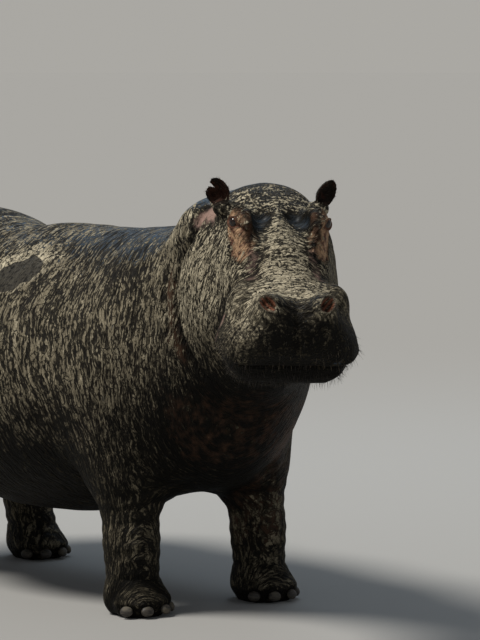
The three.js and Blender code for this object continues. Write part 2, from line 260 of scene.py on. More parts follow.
def relaxed(co, pairs, weight, times):
    """Each point moves towards the middle of its neighbours, by its weight."""
    a, b = pairs.T
    count = np.maximum(np.bincount(np.r_[a, b], minlength=len(co)), 1)
    co = co.copy()
    for _ in range(times):
        middle = np.stack(
            [np.bincount(a, co[b, k], len(co)) + np.bincount(b, co[a, k], len(co)) for k in range(3)], 1
        ) / count[:, None]
        co += (middle - co) * weight[:, None]
    return co


def ramp(low, high, value):
    """0 at low, 1 at high, smooth between; low may be the larger."""
    t = np.clip((value - low) / (high - low), 0, 1)
    return t * t * (3 - 2 * t)


def bell(away, radius, power=2):
    """1 at no distance, falling to 0 past the radius; a higher power has a flatter top."""
    return np.exp(-((away / radius) ** power))


def print_box(words):
    co = points(skin)
    print(words, np.round(co.min(0), 3), np.round(co.max(0), 3))


print_box("the melted net's box is")

# %% [markdown]
# The head has a frame of its own, the same one as in the solids: its +X runs from the poll to the nose
# along the mouth, and z = 0 is near the lips. Every fold of the face is placed in that frame, so the left
# and right sides can be worked at once.

# %% The head's own frame
HEAD = (
    Matrix.Translation((0.9045, -0.1160, 1.2660))
    @ Matrix.Rotation(math.radians(-31.5), 4, "Z")
    @ Matrix.Rotation(math.radians(22.2), 4, "Y")
    @ Matrix.Rotation(math.radians(-1.7), 4, "X")
)
TURN = np.array(HEAD.to_3x3())
HINGE = np.array(HEAD.translation)


def in_head(co):
    return (co - HINGE) @ TURN


def from_head(local):
    return np.asarray(local) @ TURN.T + HINGE


def middle_of(node):
    low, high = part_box(node)
    return np.array((low + high) / 2)


for eye in EYES:
    print(eye, "in the head's frame:", np.round(in_head(middle_of(eye)), 3))

# %% [markdown]
# The melted net still shows the facets of the solids and the steps of the voxels. Moving each point towards
# the middle of its neighbours, again and again, smooths both away, but small forms shrink with it. So the
# barrel, whose facets are large, is relaxed most, and the head, feet and tail least. The soles keep their
# height, so that the animal stands flat.

# %% Relax the net by region
SOLE = 0.006
co = points(skin)
head = in_head(co)
on_head = ramp(-0.16, 0.02, head[:, 0]) * ramp(-0.52, -0.30, head[:, 2])
on_leg = ramp(0.62, 0.46, co[:, 2])
on_foot = ramp(0.17, 0.12, co[:, 2])
on_tail = ramp(-1.39, -1.43, co[:, 0]) * ramp(1.14, 1.08, co[:, 2])
share = 1 - 0.84 * on_leg
share = share * (1 - on_foot) + 0.05 * on_foot
share = share * (1 - on_head) + 0.09 * on_head
share = share * (1 - on_tail) + 0.06 * on_tail
standing = co[:, 2] < SOLE
floor_z = co[:, 2].copy()
co = relaxed(co, edges(skin), 0.5 * share, 60)
co[standing, 2] = floor_z[standing]
set_points(skin, co)
print_box("the relaxed net's box is")

# %% [markdown]
# ## Ears, and a finer net where the forms are small
# An ear is thinner than the melt's cells, so it would be lost there. Each one is a rounded copy of its own
# solid, joined to the head by a Boolean union, so the skin stays one closed surface. Fights with other
# hippopotamuses have left tears in the edges of both ears, and three-sided wedges cut those.


# %% The frame of an ear
EAR_AT = np.array([0.058, 0.175, 0.246])
EAR_HALF_WIDE = 0.043
EAR_HALF_HIGH = 0.061
EAR_MIDDLE = 0.041


def ear_frame(side):
    """X runs across the ear, Y out of its hollow, Z from root to tip."""
    turn = -math.pi / 2 + (0.5 if side > 0 else -0.3)
    return (
        HEAD
        @ Matrix.Translation(EAR_AT * (1, side, 1))
        @ Matrix.Rotation(-side * 0.42, 4, "X")
        @ Matrix.Rotation(-0.3, 4, "Y")
        @ Matrix.Rotation(turn, 4, "Z")
    )


def in_ear(co, side):
    frame_of_ear = ear_frame(side).inverted()
    return co @ np.array(frame_of_ear.to_3x3()).T + np.array(frame_of_ear.translation)


for side in (-1, 1):
    print("an ear grows from", np.round(np.array(ear_frame(side).translation), 3))


# %% Join the ears to the skin
def pair_triangles():
    bpy.ops.mesh.tris_convert_to_quads()


def ear_skin(ear):
    """A rounded copy of an ear's solid."""
    piece = copy_of(ear, "skin_" + ear)
    in_edit_mode(piece, weld, pair_triangles)
    apply_modifier(piece, "SUBSURF", levels=3, render_levels=3)
    return piece


# Each tear's angle round the rim, how near to the ear's middle its tip reaches, and how wide it is.
TEARS = {-1: [(0.98, 0.38, 0.80), (0.42, 0.84, 0.40), (0.05, 0.88, 0.30)], 1: [(2.40, 0.90, 0.30)]}


def tear(piece, side, around, tip_at, wide):
    """Cuts a V out of the ear's edge with a wedge."""
    deselect_all()
    bpy.ops.mesh.primitive_cylinder_add(vertices=3, radius=0.022, depth=0.12)
    wedge = bpy.context.object
    inwards = math.atan2(-math.sin(around) * EAR_HALF_HIGH, -math.cos(around) * EAR_HALF_WIDE)
    tip_x = EAR_HALF_WIDE * math.cos(around) * tip_at
    tip_z = EAR_MIDDLE + EAR_HALF_HIGH * math.sin(around) * tip_at
    place = (
        ear_frame(side)
        @ Matrix.Translation((tip_x, 0, tip_z))
        @ Matrix.Rotation(math.pi / 2, 4, "X")
        @ Matrix.Rotation(inwards - math.pi / 2, 4, "Z")
        @ Matrix.Translation((0, -0.035, 0))
        @ Matrix.Diagonal((wide, 1.6, 1, 1))
    )
    wedge.data.transform(place)
    apply_modifier(piece, "BOOLEAN", operation="DIFFERENCE", object=wedge, solver="EXACT")
    alone(wedge)
    bpy.ops.object.delete()


for ear, side in zip(EARS, (-1, 1)):
    piece = ear_skin(ear)
    for cut in TEARS[side]:
        tear(piece, side, *cut)
    apply_modifier(skin, "BOOLEAN", operation="UNION", object=piece, solver="EXACT")
    alone(piece)
    bpy.ops.object.delete()
print("with ears:", len(skin.data.vertices), "points")


# %% [markdown]
# A net as fine as the lids need would be far too heavy over the whole body. So its faces are halved over
# the head and toes, and halved again round the eyes, nostrils and mouth, and once more at the lids. Each
# halving leaves the old facets behind, so a little relaxing follows it.


# %% Places on the face
EYE_AT = np.abs(in_head(middle_of("eye_left")))
BAG_END = np.array([0.319, 0.131, 0.177])
NOSTRIL_AT = np.array([0.668, 0.0985, 0.182])


def mirrored(co):
    """The sign of each point's side, and its place with the right side folded onto the left."""
    face = in_head(co)
    sign = np.where(face[:, 1] < 0, -1.0, 1.0)
    face[:, 1] *= sign
    return sign, face


def one_side(co):
    return mirrored(co)[1]


def distance(co, point):
    return np.linalg.norm(co - point, axis=1)


def from_line(co, start, end):
    """Distance from the straight line between two points."""
    way = end - start
    share = np.clip((co - start) @ way / (way @ way), 0, 1)
    return np.linalg.norm(co - start - share[:, None] * way, axis=1)


def mouth_height(face):
    """Height over the line where the lips meet."""
    return face[:, 2] + 0.036 + 0.087 * (face[:, 0] - 0.52)


print("an eye is at", np.round(EYE_AT, 3), "and a nostril at", NOSTRIL_AT, "in the head's frame")


# %% Halve the net where it matters
def halve(piece, chosen):
    """Cuts every face whose points are all chosen into four."""
    alone(piece)
    mesh = piece.data
    mesh.vertices.foreach_set("select", chosen)
    pairs = edges(piece)
    mesh.edges.foreach_set("select", chosen[pairs].all(1))
    mesh.polygons.foreach_set("select", [bool(chosen[list(p.vertices)].all()) for p in mesh.polygons])
    bpy.ops.object.mode_set(mode="EDIT")
    bpy.ops.mesh.select_mode(type="FACE")
    bpy.ops.mesh.subdivide(number_cuts=1, smoothness=0)
    bpy.ops.object.mode_set(mode="OBJECT")


def soften(piece, where, times):
    co = points(piece)
    set_points(piece, relaxed(co, edges(piece), 0.5 * where(co), times))


def head_region(co):
    face = in_head(co)
    return (face[:, 0] > -0.15 - 0.25 * face[:, 2].clip(-0.4, 0)) & (face[:, 2] > -0.45)


def toe_region(co):
    return (co[:, 2] < 0.10) & (co[:, 2] > 0.008)


def small_forms(co):
    face = one_side(co)
    mouth = (np.abs(mouth_height(face)) < 0.022) & (face[:, 0] > 0.30)
    return (from_line(face, EYE_AT, BAG_END) < 0.085) | (distance(face, NOSTRIL_AT) < 0.066) | mouth


def lids_region(co):
    return distance(one_side(co), EYE_AT) < 0.046


def off_ears(co):
    return head_region(co) * ramp(0.05, 0.08, distance(one_side(co), EAR_AT))


def ear_roots(co):
    return ramp(0.050, 0.030, distance(one_side(co), EAR_AT + (0, 0.004, 0.002)))


halve(skin, head_region(points(skin)) | toe_region(points(skin)))
soften(skin, off_ears, 4)
halve(skin, small_forms(points(skin)))
soften(skin, small_forms, 4)
halve(skin, lids_region(points(skin)))
soften(skin, lids_region, 3)
soften(skin, ear_roots, 8)
print("finer net:", len(skin.data.vertices), "points in", len(skin.data.polygons), "faces")

# %% [markdown]
# ## Shaping the face
# A hippopotamus closes its eyes and nostrils under water, so both are thick rings of muscle. No modelling
# operator gives such a form on a closed net, so the points are moved with sums. For the lids each point
# moves along its ray from the eyeball's centre: inside the opening it drops below the ball, and at the
# margin it stands a little proud of it.

# %% Open the lids
GAZE = np.array([0.62, 0.75, 0.20]) / np.linalg.norm([0.62, 0.75, 0.20])
LEVEL = np.array([1, 0, 0]) - GAZE[0] * GAZE
LEVEL /= np.linalg.norm(LEVEL)
RISE = np.cross(LEVEL, GAZE)
RISE *= np.sign(RISE[2])
LID_LONG = 1.10
LID_HIGH = 0.86
LID_RINGS = [0, 0.84, 1.0, 1.10, 1.22, 1.45]
LID_REACH = [0.0150, 0.0162, 0.0234, 0.0262, 0.0270, 0.0290]


def unfold(sign, face):
    """The way back from mirrored()."""
    face = face.copy()
    face[:, 1] *= sign
    return from_head(face)


def lid_shape(face):
    """Each point's way and distance from the eyeball's centre, and its ring: 1 is the margin of the lids."""
    out = face - EYE_AT
    reach = np.linalg.norm(out, axis=1)
    way = out / np.maximum(reach, 1e-9)[:, None]
    ahead = way @ GAZE
    across = np.arctan2(way @ LEVEL, ahead)
    up = np.arctan2(way @ RISE, ahead)
    ring = np.hypot(across / LID_LONG, up / LID_HIGH)
    ring[ahead < 0.05] = 9
    return out, reach, ring


co = points(skin)
sign, face = mirrored(co)
out, reach, ring = lid_shape(face)
lid = np.interp(ring, LID_RINGS, LID_REACH)
hold = (1 - ramp(1.10, 1.55, ring)) * (reach < 0.075)
new_reach = reach * (1 - hold) + lid * hold
face = EYE_AT + out * (new_reach / np.maximum(reach, 1e-9))[:, None]
co = np.where((hold > 0)[:, None], unfold(sign, face), co)
set_points(skin, co)
print("lids shaped from", int((hold > 0).sum()), "points")


# %% [markdown]
# Rings of fine wrinkles lie round each eye and the bag under it, and a smooth wet pit lies between the eye
# and the bridge of the nose. The rings are a cosine of the distance from the eye, and the pit is a bell
# turned inwards. The muzzle draws in behind its swollen pad, which is one more bell on each side.


# %% Folds round the eyes
def push(piece, amount):
    """Moves each point along the net's softened normal, so that deep folds don't cross themselves."""
    way = relaxed(normals(piece), edges(piece), np.full(len(amount), 0.6), 6)
    way /= np.linalg.norm(way, axis=1)[:, None]
    set_points(piece, points(piece) + way * amount[:, None])


PIT_AT = np.array([0.222, 0.074, 0.272])
PIT_END = PIT_AT + (-0.050, -0.018, -0.004)
PAD_TOP = np.array([0.500, 0.165, 0.140])


def in_pit(co, radius=0.034):
    """1 in the smooth hollow between the eye and the bridge of the nose."""
    return bell(from_line(one_side(co), PIT_AT, PIT_END), radius, 4)


def eye_waves(face):
    """Rings of wrinkles round the eye and the bag under it: 1 on a ridge, -1 in a groove."""
    away = from_line(face, EYE_AT, BAG_END)
    turn = np.arctan2(face[:, 2] - EYE_AT[2], face[:, 0] - EYE_AT[0])
    wander = 0.0030 * np.sin(3 * turn + 0.6) + 0.0016 * np.sin(7 * turn + away * 120)
    behind = ramp(0.03, -0.03, face[:, 0] - EYE_AT[0] - 0.45 * (EYE_AT[2] - face[:, 2]))
    window = ramp(0.027, 0.033, away) * ramp(0.050 + 0.036 * behind, 0.036 + 0.030 * behind, away)
    return np.cos((away + wander) * 2 * math.pi / 0.0112) * window * (0.55 + 0.45 * behind)


face = one_side(points(skin))
ahead, aside, above = face.T
pit = bell(from_line(face, PIT_AT, PIT_END), 0.030)
waist = bell(ahead - 0.415 - 0.25 * above, 0.032)
waist *= ramp(0.10, 0.16, aside) * ramp(-0.05, 0.0, above) * ramp(0.17, 0.10, above)
pad_top = bell(distance(face, PAD_TOP), 0.050)
push(skin, 0.0028 * eye_waves(face) * (1 - pit) - 0.022 * pit - 0.026 * waist + 0.012 * pad_top)
soften(skin, in_pit, 6)
print("pits, waist of the muzzle and eye folds moved", int((pit + waist + pad_top > 0.05).sum()), "points")


# %% [markdown]
# The nostril is a slanting oval hollow with a raised rim, ridges inside it, and beside it the round knob
# that shuts it. It is shaped in a flat frame of its own, laid on the skin where the nostril is, so that the
# oval isn't skewed by the slope of the muzzle.

# %% Nostrils
NOSTRIL_HALF_LONG = 0.0335
NOSTRIL_HALF_WIDE = 0.0210
NOSTRIL_SLANT = math.radians(38)


NOSTRIL_FRAMES = {}


def tangent_frame(centre, radius, towards):
    """The skin's mean normal round a point, and two directions across it."""
    outwards = normals(skin)[distance(points(skin), centre) < radius].mean(0)
    outwards /= np.linalg.norm(outwards)
    across = towards - (towards @ outwards) * outwards
    across /= np.linalg.norm(across)
    return outwards, across, np.cross(outwards, across)


def in_nostril(co, side):
    """1 on the nostril's rim and 0 at its middle, and the place across it."""
    centre, long_way, short_way = NOSTRIL_FRAMES[side]
    across = (co - centre) @ short_way
    return np.hypot((co - centre) @ long_way, across), across


def shape_nostril(side):
    co = points(skin)
    centre = from_head(NOSTRIL_AT * (1, side, 1))
    outwards, across, up = tangent_frame(centre, 0.03, TURN @ np.array([0, side, 0]))
    if up[2] < 0:
        up = -up
    long_way = math.cos(NOSTRIL_SLANT) * up + math.sin(NOSTRIL_SLANT) * across
    short_way = math.cos(NOSTRIL_SLANT) * across - math.sin(NOSTRIL_SLANT) * up
    NOSTRIL_FRAMES[side] = (centre, long_way / NOSTRIL_HALF_LONG, short_way / NOSTRIL_HALF_WIDE)
    ring, place = in_nostril(co, side)
    hollow = -0.015 * (1 - ramp(0.45, 1.02, ring)) - 0.004 * (1 - ramp(0.0, 0.9, ring))
    ridges = 0.0028 * np.cos(place * 8.0) * (1 - ramp(0.6, 0.95, ring))
    rim = 0.0065 * bell(ring - 1.17, 0.15)
    knob_at = from_head((NOSTRIL_AT + (-0.008, -0.040, 0.010)) * (1, side, 1))
    knob_up = 0.016 * bell(distance(co, knob_at), 0.029) * ramp(0.95, 1.25, ring)
    near = distance(co, centre) < 0.075
    set_points(skin, co + outwards * ((hollow + ridges + rim + knob_up) * near)[:, None])
    return outwards


for side in (-1, 1):
    print("nostril faces", np.round(shape_nostril(side) @ TURN, 2))

# %% [markdown]
# The mouth is shut. Where the lips meet, a narrow groove is pressed in, with a low roll over it and the
# fleshy cushion of the upper lip above. A shallow groove parts the two halves of the muzzle in front.

# %% Lips and the groove between the nostrils
LIP_CUSHION = np.array([0.490, 0.193, 0.075])


def lips_region(co):
    face = in_head(co)
    return (np.abs(mouth_height(face)) < 0.03) & (face[:, 0] > 0.3)


push(skin, 0.012 * bell(distance(one_side(points(skin)), LIP_CUSHION), 0.050))
face = in_head(points(skin))
front = ramp(0.30, 0.38, face[:, 0])
height = mouth_height(face)
parting = -0.010 * bell(height, 0.0062) * front
lip = 0.0035 * bell(height - 0.018, 0.010) * front
groove = -0.006 * bell(face[:, 1], 0.009) * ramp(0.56, 0.66, face[:, 0]) * ramp(0.0, 0.05, height)
push(skin, parting + lip + groove)
soften(skin, lips_region, 1)
print("lips parted along", int((parting < -0.005).sum()), "points")

# %% [markdown]
# ## Folds of the neck and body
# The hide hangs in rolls: one deep fold runs from behind the ear, round the jowl and under the throat, with
# a shallower one behind it and a crease in front of the shoulder blade. The head is turned to the right, so
# the neck bunches up behind the right ear, and the folds are deep on the right and stretched on the left. A
# groove alone would look cut with a knife, so each fold is a groove with a soft roll on either side.


# %% Neck folds
def fold(distance_to, depth, width, roll):
    """A groove with a soft roll on either side."""
    return -depth * bell(distance_to, width) + roll * bell(np.abs(distance_to / width) - 2.2, 1)


JOWL_Z = [-0.40, -0.355, -0.29, -0.21, -0.11, 0.0, 0.09, 0.17, 0.26]
JOWL_X = [0.150, 0.115, 0.085, 0.040, -0.015, -0.045, -0.030, -0.060, -0.11]
CREASE_Z = [1.05, 1.13, 1.21, 1.29, 1.34]
CREASE_X = [0.475, 0.459, 0.424, 0.368, 0.360]
NAPE = np.array([[0.73, -0.255, 1.435], [0.57, -0.225, 1.375]])
WITHERS = np.array([[0.30, -0.02, 1.38], [0.46, -0.06, 1.39]])


def jowl_line(above):
    return np.interp(above, JOWL_Z, JOWL_X)


def near_nape(co):
    return bell(from_line(co, *NAPE), 0.074)


def near_jowl(co):
    face = in_head(co)
    return bell(face[:, 0] - jowl_line(face[:, 2]) + 0.02, 0.09)


def from_crease(co):
    """Distance along x from the crease in front of the shoulder blade, and how deep it is there."""
    x, y, z = co.T
    strength = ramp(1.00, 1.08, z) * ramp(1.37, 1.31, z) * ramp(0.08, 0.16, np.abs(y))
    return x - np.interp(z, CREASE_Z, CREASE_X), strength * np.where(y < 0, 1.0, 0.6)


co = points(skin)
push(skin, 0.036 * near_nape(co) - 0.018 * bell(from_line(co, *WITHERS), 0.11))
ahead, aside, above = in_head(points(skin)).T
turned = np.where(aside < 0, 1.0, 0.45)
side_only = ramp(0.10, 0.17, np.abs(aside))
reach_down = ramp(0.24, 0.10, above) * (0.35 + 0.65 * ramp(-0.42, -0.30, above))
jowl = fold(ahead - jowl_line(above), 0.019, 0.016, 0.006) * turned * side_only * reach_down
behind_jowl = jowl_line(above) - 0.075 + 0.02 * np.sin(above * 14)
second = fold(ahead - behind_jowl, 0.012, 0.015, 0.005) * turned * side_only
second *= ramp(0.12, 0.0, above) * ramp(-0.36, -0.26, above)
push(skin, jowl + second)
beside, strength = from_crease(points(skin))
push(skin, fold(beside, 0.006, 0.014, 0.002) * strength)
soften(skin, near_jowl, 6)
print("the jowl's fold is", round(-1000 * float(jowl.min()), 1), "mm deep")

# %% [markdown]
# The skin of the ears is rippled, and shallow rolls ring the trunk and the legs, with a groove above each
# foot. They are sums of waves, which wander a little so that no two rolls are alike.

# %% Ripples of the ears, rolls of the trunk and legs
RIPPLE = 0.0011


def on_ear(co, side):
    """Each point's place across and up an ear, and whether it is within the ear's width and depth."""
    ear_x, ear_y, ear_z = in_ear(co, side).T
    return ear_x, ear_z, (np.abs(ear_x) < 0.07) * (np.abs(ear_y + 0.02) < 0.06)


co = points(skin)
for side in (-1, 1):
    ear_x, ear_z, inside = on_ear(co, side)
    ripple = np.sin(ear_x * 520 + 3 * np.sin(ear_z * 310)) * np.cos(ear_z * 610 + ear_x * 170)
    ripple += 0.7 * np.sin(ear_z * 1100 + ear_x * 900)
    push(skin, RIPPLE * ramp(0.010, 0.040, ear_z) * inside * ripple)
co = points(skin)
x, y, z = co.T
on_body = ramp(0.42, 0.60, z) * ramp(0.13, -0.17, in_head(co)[:, 0])
wander = 0.03 * np.sin(z * 5 + 1.3) + 0.02 * np.sin(z * 11 + x * 3)
rolls = np.cos((x + wander) * 2 * math.pi / 0.16) + 0.6 * np.cos((x - wander) * 2 * math.pi / 0.11 + 1.7)
patchy = 0.5 + 0.5 * np.sin(x * 4.1 + 0.7) * np.cos(z * 3.3)
push(skin, 0.0016 * rolls * on_body * patchy)
x, y, z = points(skin).T
on_leg = ramp(0.50, 0.40, z) * ramp(0.11, 0.15, z)
bands = np.cos((z + 0.012 * np.sin(x * 23) + 0.010 * np.cos(y * 19)) * 2 * math.pi / 0.052)
push(skin, 0.0014 * bands * on_leg - 0.004 * bell(z - 0.135, 0.010))
print_box("the shaped net's box is")

# %% [markdown]
# The net now has points everywhere, though the plain stretches of the barrel need few. A collapse takes
# them away where the surface is flattest, so the folds and lids keep theirs.

# %% Thin the net where it is plain
FACES_WANTED = 192000
apply_modifier(skin, "TRIANGULATE", min_vertices=4)
apply_modifier(skin, "DECIMATE", decimate_type="COLLAPSE", ratio=FACES_WANTED / len(skin.data.polygons))
print("thinned to", len(skin.data.polygons), "triangles")

# %% [markdown]
# ## Where each colour lies
# The hide's markings follow its shape, so they are kept as numbers on the skin's points: how much of it mud
# covers, how pale the mud is drawn, with painted light and shade summed in, where painted shade darkens the
# skin, and where it is pink, rusty, or polished with a painted reflection of the sky. A direction field
# comes with them. It unbends the neck, so that wrinkles and flecks of mud run down the body and the head
# alike, and it is finer on the head.


# %% The way the mud runs
def keep(piece, name, values):
    """Keeps one number, or one direction, for each point of a piece."""
    kind = "FLOAT_VECTOR" if values.ndim == 2 else "FLOAT"
    made = piece.data.attributes.new(name, kind, "POINT")
    made.data.foreach_set("vector" if values.ndim == 2 else "value", values.astype(np.float32).ravel())


NECK = np.array([0.80, -0.05, 1.10])
LEAN = 0.35
FINER = 1.42
co = points(skin)
nrm = normals(skin)
bend = ramp(-0.30, 0.22, (co - NECK) @ (np.array([1, 0, 0]) + TURN[:, 0]) / 2)[:, None]
along_body = co - NECK + (co[:, 2:] - NECK[2]) * (LEAN, 0, 0)
along_head = (co - NECK) @ TURN * FINER
keep(skin, "grain", along_body * (1 - bend) + along_head * bend)
print("points past the bend of the neck:", int((bend > 0.5).sum()))

# %% Regions of the head and body, each 1 inside and 0 outside
BRIDGE_X = [0.0, 0.20, 0.33, 0.42, 0.50, 0.60]
BRIDGE_Y = [0.16, 0.055, 0.050, 0.085, 0.12, 0.14]
SEPTUM_AT = (0.690, 0.0, 0.165)
SEPTUM_SIZE = (0.09, 0.050, 0.055)
SLOPE = np.array([[0.340, 0.100, 0.190], [0.455, 0.128, 0.150]])
BEHIND_PAD = np.array([[0.375, 0.165, 0.10], [0.265, 0.185, -0.13]])

x, y, z = co.T
up = nrm[:, 2]
face_up = nrm @ TURN[:, 2]
local = in_head(co)
face = one_side(co)
ahead, aside, above = face.T
on_head = ramp(-0.10, 0.05, ahead) * ramp(-0.33, -0.22, above)
bridge = on_head * ramp(0.05, 0.12, ahead) * ramp(0.66, 0.58, ahead) * ramp(0.10, 0.50, face_up)
bridge_edge = np.interp(ahead, BRIDGE_X, BRIDGE_Y)
bridge *= ramp(bridge_edge + 0.025, bridge_edge - 0.005, aside)
pad = on_head * ramp(0.42, 0.52, ahead) * (1 - bridge)
cheeks = on_head * (1 - bridge) * (1 - pad)
# These mark painted shade on the face: the front of the muzzle, most on the left side away from the sun, the
# lips, the far (left) cheek, the head below the lips, and the throat.
muzzle_front = ramp(0.54, 0.68, ahead) * ramp(0.180, 0.100, above) * ramp(-0.175, -0.050, local[:, 1])
lip_shade = on_head * ramp(0.40, 0.52, ahead) * ramp(0.150, 0.020, mouth_height(face))
far_cheek = on_head * ramp(0.10, 0.16, local[:, 1]) * ramp(0.24, 0.18, above)
lower_head = on_head * ramp(0.004, -0.012, mouth_height(face)) * ramp(0.30, 0.42, ahead)
throat = on_head * ramp(1.10, 1.00, z) * (ahead < 0.4)
crown = ramp(0.24, 0.12, ahead) * ramp(-0.30, -0.20, ahead)
crown *= ramp(0.0, 0.4, face_up) * ramp(0.10, 0.16, above)
septum = bell(np.linalg.norm((local - SEPTUM_AT) / SEPTUM_SIZE, axis=1), 1, 4)
# slope and behind_pad mark painted shade on the slopes beside the bridge and on the cheek behind the pad;
# nape marks painted light and sheen on the top of the neck.
slope = bell(from_line(face, *SLOPE), 0.036)
behind_pad = bell(from_line(face, *BEHIND_PAD), 0.034)
nape = near_nape(co)
# under and low mark painted shade on the underside and the low parts; chest carries both a rusty colour and
# painted shade.
under = ramp(0.05, -0.70, up) * (1 - 0.6 * on_head)
low = ramp(1.02, 0.50, z) * (1 - on_head)
chest = ramp(0.50, 0.62, x) * ramp(0.95, 0.75, z) * ramp(0.45, 0.6, z) * (1 - on_head)
far_leg = ramp(0.10, 0.20, y) * (x > 0.2) * ramp(0.72, 0.62, z) * ramp(0.12, 0.25, z)
back = ramp(0.36, 0.88, up) * ramp(1.15, 1.30, z) * ramp(-0.02, -0.10, ahead)
rump = ramp(0.10, -0.25, x) * ramp(1.05, 1.25, z)
print("points on the head:", int((on_head > 0.5).sum()), "and on its bridge:", int((bridge > 0.5).sum()))

# %% Inside the ears and nostrils
ears = np.zeros(len(co))
ear_hollow = np.zeros(len(co))
nostril = np.zeros(len(co))
nostril_rim = np.zeros(len(co))
for side in (-1, 1):
    ear_x, ear_z, inside = on_ear(co, side)
    share = ramp(0.000, 0.020, ear_z) * inside
    ears = np.maximum(ears, share)
    inwards = nrm @ np.array(ear_frame(side).to_3x3())[:, 1]
    ear_hollow = np.maximum(ear_hollow, share * ramp(0.0, 0.4, inwards))
    ring, place = in_nostril(co, side)
    close = distance(co, NOSTRIL_FRAMES[side][0]) < 0.06
    # Inside the nostril the red is weaker in the grooves between the ridges, as painted shade.
    nostril = np.maximum(nostril, close * ramp(1.0, 0.88, ring) * (0.55 + 0.45 * np.cos(place * 8.0)))
    nostril_rim = np.maximum(nostril_rim, close * bell(ring - 1.04, 0.06))
keep(skin, "ears", ears)
keep(skin, "ear_hollow", ear_hollow)
keep(skin, "nostril", nostril)
keep(skin, "nostril_rim", nostril_rim)
print("points on the ears:", int((ears > 0.5).sum()), "and in the nostrils:", int((nostril > 0.5).sum()))

# %% [markdown]
# Mud doesn't hold on skin that is rubbed, folded or wet. Round the eyes and below them it is pink, behind
# the ears and at the corner of the lips a dull mauve, and rusty in the jowl's fold and on the chest. The
# back, the nape, the pits and the knobs of the nostrils are polished, and a blue-grey reflection of the sky
# is painted on them. Painted shade darkens the skin low on the body, underneath, on the front and lips of
# the muzzle, on the chest and in the jowl's fold, and the grooves round the eyes are painted darker.

# %% Bare, coloured and polished skin
BAG = np.array([EYE_AT + (-0.008, -0.002, -0.012), BAG_END + (-0.026, 0.008, 0.012)])
INNER_ORBIT = np.array([[0.225, 0.112, 0.298], [0.300, 0.118, 0.235]])
MAUVE_PATCH = np.array([[0.000, 0.17, 0.205], [-0.075, 0.21, 0.110]])
MAUVE_STRIP = np.array([[0.320, 0.105, 0.190], [0.430, 0.112, 0.150]])
LIP_CORNER = np.array([[0.506, 0.207, 0.055], [0.545, 0.236, -0.028]])

orbit_shade = bell(from_line(face, *INNER_ORBIT), 0.019)
pink_wide = np.interp(above, [0.19, 0.23, 0.28], [0.040, 0.056, 0.056])
pink = bell(from_line(face, *BAG), pink_wide, 2.2)
keep(skin, "pink", pink * (1 - ears) * (1 - 0.6 * orbit_shade) * ramp(0.026, 0.062, distance(face, PIT_AT)))
lip_corner = bell(from_line(face, *LIP_CORNER), 0.014)
mauve = bell(from_line(face, *MAUVE_PATCH), 0.040)
mauve = np.maximum(mauve, 0.50 * bell(from_line(face, *MAUVE_STRIP), 0.034))
keep(skin, "mauve", np.maximum(mauve, 0.65 * lip_corner) * (1 - ears))

off_jowl = ahead - jowl_line(above)
sideways = ramp(0.10, 0.17, aside)
fold_shade = bell(off_jowl + 0.006, 0.020) * sideways * ramp(0.22, 0.10, above)
rust = bell(off_jowl + 0.050, 0.036) * sideways * ramp(0.02, -0.10, above) * ramp(-0.40, -0.30, above)
rust *= ramp(0, 0.02, -local[:, 1])
keep(skin, "rust", np.clip(0.95 * rust + 0.50 * far_leg + 0.48 * chest + 0.9 * orbit_shade, 0, 1))

knobs_wet = bell(distance(face, NOSTRIL_AT + (-0.008, -0.042, 0.010)), 0.036, 4)
pits = in_pit(co, 0.038)
# Besides the coat's real gloss, this mask paints a blue-grey reflection of the sky into the colour, on the
# back, the nape, the pits and the knobs of the nostrils.
polish_and_sky_sheen = 0.80 * back * (1 - 0.25 * rump) + 0.52 * knobs_wet + 0.75 * pits + 0.42 * nape
keep(skin, "smooth", np.maximum(pits, knobs_wet))
keep(skin, "polish_and_sky_sheen", np.clip(polish_and_sky_sheen, 0, 1))
# Painted shade: the skin is darkened low on the body, underneath, on the front and lips of the muzzle, below
# the lips, on the chest and in the jowl's fold.
painted_shade = 0.50 * low + 0.6 * under + muzzle_front + 0.6 * lip_shade + lower_head + 0.5 * chest + fold_shade
keep(skin, "painted_shade", np.clip(painted_shade, 0, 1))

# The grooves between the wrinkles round the eyes and the creases of the lids are kept, to be painted darker
# as shade.
ring = lid_shape(face)[2]
lid_line = bell(ring - 1.0, 0.16) + 0.8 * bell(ring - 1.75, 0.14) * ramp(0.0, 0.01, above - EYE_AT[2])
lid_line *= distance(face, EYE_AT) < 0.05
keep(skin, "groove", np.clip(-1.2 * eye_waves(face) + lid_line, 0, 1))
print("points on pink skin:", int((pink > 0.5).sum()), "and on polished skin:", int((polish_and_sky_sheen > 0.5).sum()))

# %% [markdown]
# Mud is thickest on the bridge of the nose, the cheeks, the rump and the nape, and thin on the lips, below
# them, on the belly and in the folds. Its paleness carries painted light and shade: it is drawn paler on the
# bridge, the cheeks, the top of the pad and the nape, where the sun falls, and darker as painted shade on
# the lips, the throat, the front of the muzzle, behind the pad, on the far cheek, the chest, the low parts
# and the belly, and in the folds. Both are sums of the regions above, each with its own weight.

# %% How much the mud covers, and how pale it is drawn, with painted light and shade
# One thick plate of mud has flaked off the flank, with curled plates left over its edge.
PATCH_AT = np.array([-0.235, -0.32, 1.18])
PATCH_SIZE = (0.125, 0.14, 0.085)
from_patch = (co - PATCH_AT) / PATCH_SIZE
patch_far = np.linalg.norm(from_patch, axis=1)
plates = bell(patch_far - 1.15, 0.40) * ramp(-0.3, 0.6, from_patch[:, 2] - 0.6 * from_patch[:, 0])
keep(skin, "flaked", 1 - patch_far)

beside, strength = from_crease(co)
crease_shade = strength * bell(beside, 0.009)
